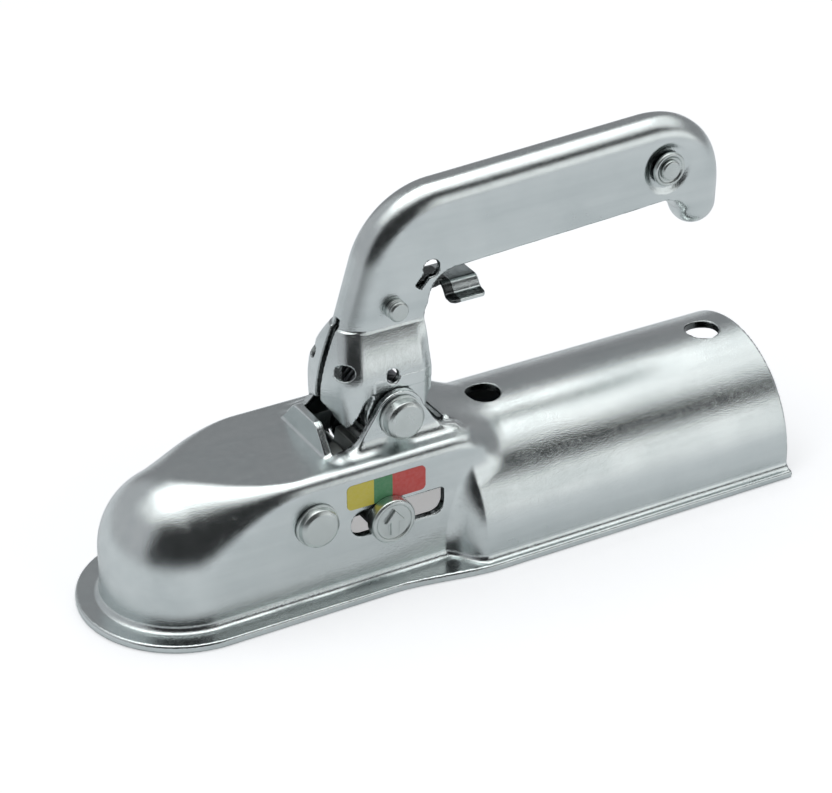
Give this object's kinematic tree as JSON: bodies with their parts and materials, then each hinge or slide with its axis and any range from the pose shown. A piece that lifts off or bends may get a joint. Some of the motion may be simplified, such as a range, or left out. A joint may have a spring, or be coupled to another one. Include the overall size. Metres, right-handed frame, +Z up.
{
  "type": "trailer coupling head",
  "caption": "Pressed steel trailer coupling head: domed ball hood, round drawbar socket, forked lever handle, ball jaw, lock slide with indicator pin, and safety catch.",
  "frame": {"origin": "centre of the towing ball in the cup", "axes": "+X rearward along the drawbar, -Y the side seen in the picture, +Z up"},
  "size_m": [0.2625, 0.0844, 0.1374],
  "materials": {
    "zinc_sheet": "bright zinc plated, satin gloss, fine sparkle",
    "zinc_pin": "zinc plated, turned and riveted",
    "forged_steel": "zinc plated forging, dull",
    "spring_steel": "oiled dark spring wire",
    "label": "printed film in yellow, green and red"
  },
  "bodies": {
    "hood": {"housing": "zinc_sheet", "handle_pivot_pin": "zinc_pin", "pivot_washer": "zinc_pin", "jaw_pin": "zinc_pin", "jaw_washer": "zinc_pin", "jaw_spacer_near": "forged_steel", "jaw_spacer_far": "forged_steel", "jaw_spring": "spring_steel", "indicator_label": "label"},
    "lever": {"handle": "zinc_sheet", "pivot_sleeve": "forged_steel", "main_spring": "spring_steel", "link_pin": "zinc_pin", "grip_eyelet": "zinc_pin", "grip_rivet": "zinc_pin", "catch_pin": "zinc_pin"},
    "catch": {"catch_lever": "zinc_sheet", "catch_spring": "spring_steel"},
    "jaw": {"ball_jaw": "forged_steel"},
    "slide": {"lock_slide": "forged_steel", "indicator_pin": "zinc_pin", "indicator_washer": "zinc_pin", "slide_spacer_near": "forged_steel", "slide_spacer_far": "forged_steel"}
  },
  "joints": [
    {"name": "handle_hinge", "type": "hinge", "parent": "hood", "child": "lever", "pos_m": [0.075, 0, 0.0386], "axis": [0, -1, 0], "range_deg": [-16, 30]},
    {"name": "slide_travel", "type": "slide", "parent": "hood", "child": "slide", "axis": [1, 0, 0], "range_m": [-0.0056, 0.0104]},
    {"name": "jaw_hinge", "type": "hinge", "parent": "hood", "child": "jaw", "pos_m": [0.0375, 0, 0.0117], "axis": [0, -1, 0], "range_deg": [-16.5, 30.5], "deforming": ["jaw_spring"]},
    {"name": "catch_hinge", "type": "hinge", "parent": "lever", "child": "catch", "pos_m": [0.079, 0, 0.0737], "axis": [0, -1, 0], "range_deg": [0, 8], "stiffness_Nm_per_rad": 0.3, "springref_deg": -4.58}
  ],
  "couplings": [
    {"joint": "slide_travel", "follows": "handle_hinge", "m_per_rad": 0.0196},
    {"joint": "jaw_hinge", "follows": "handle_hinge", "ratio": 1}
  ]
}
